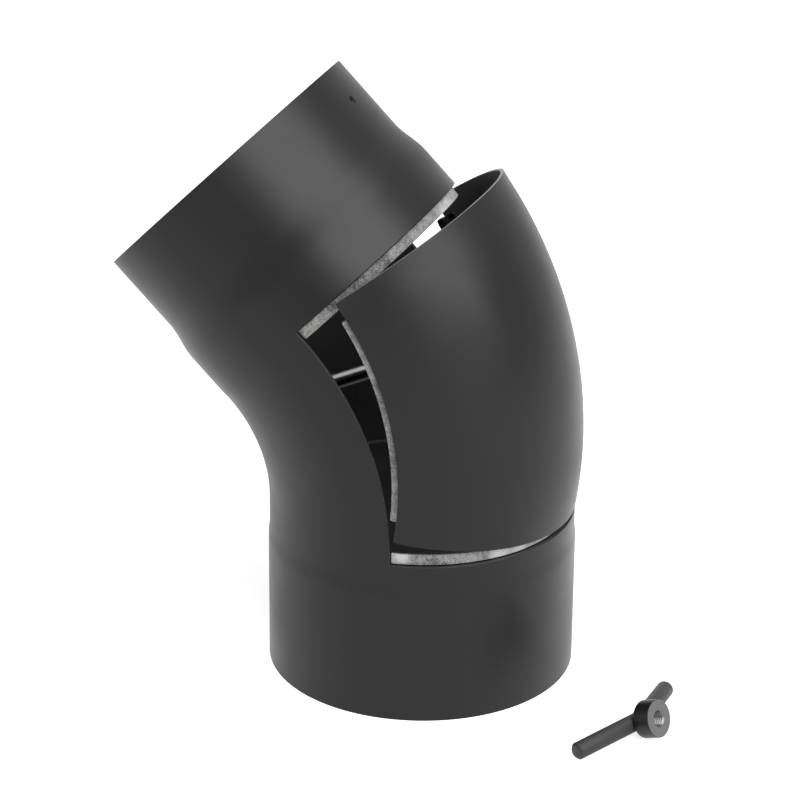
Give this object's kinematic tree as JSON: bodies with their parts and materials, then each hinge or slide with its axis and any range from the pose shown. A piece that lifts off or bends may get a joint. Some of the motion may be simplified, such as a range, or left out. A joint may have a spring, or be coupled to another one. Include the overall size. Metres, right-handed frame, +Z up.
{
  "type": "stove pipe elbow",
  "caption": "Bent steel flue pipe with a narrowed neck and a curved cleaning door in the outside of the bend, held by a clamp rod and a T-handle nut.",
  "frame": {"origin": "centre of the wide end's rim, on the floor", "axes": "+Z up along the wide end; the pipe bends towards -X; the door is on the +X side; XZ is the plane of symmetry"},
  "size_m": [0.2982, 0.1632, 0.3027],
  "materials": {
    "black_paint": "satin heat-resistant black paint",
    "glass_tape": "woven glass-fibre tape",
    "dark_steel": "dark drawn steel"
  },
  "bodies": {
    "elbow": {"elbow_body": "black_paint", "ledge_top": "black_paint", "ledge_bottom": "black_paint", "gasket_top": "glass_tape", "gasket_bottom": "glass_tape", "handle_hub": "black_paint", "handle_arms": "black_paint"},
    "clamp_rod": {"clamp_rod": "dark_steel"},
    "door": {"door_panel": "black_paint", "side_strip_front": "black_paint", "side_strip_back": "black_paint", "gasket_front": "glass_tape", "gasket_back": "glass_tape", "rod_bracket": "black_paint", "bracket_pin": "dark_steel"}
  },
  "joints": [
    {"name": "door_pull", "type": "slide", "parent": "elbow", "child": "clamp_rod", "axis": [0.9063, 0, 0.4226], "range_m": [-0.0162, 0.0065]},
    {"name": "door_tilt", "type": "hinge", "parent": "clamp_rod", "child": "door", "pos_m": [0.0501, 0, 0.18607], "axis": [0, 1, 0], "range_deg": [-8.42, 3.4]}
  ],
  "couplings": [
    {"joint": "door_tilt", "follows": "door_pull", "rad_per_m": 9.0499}
  ]
}
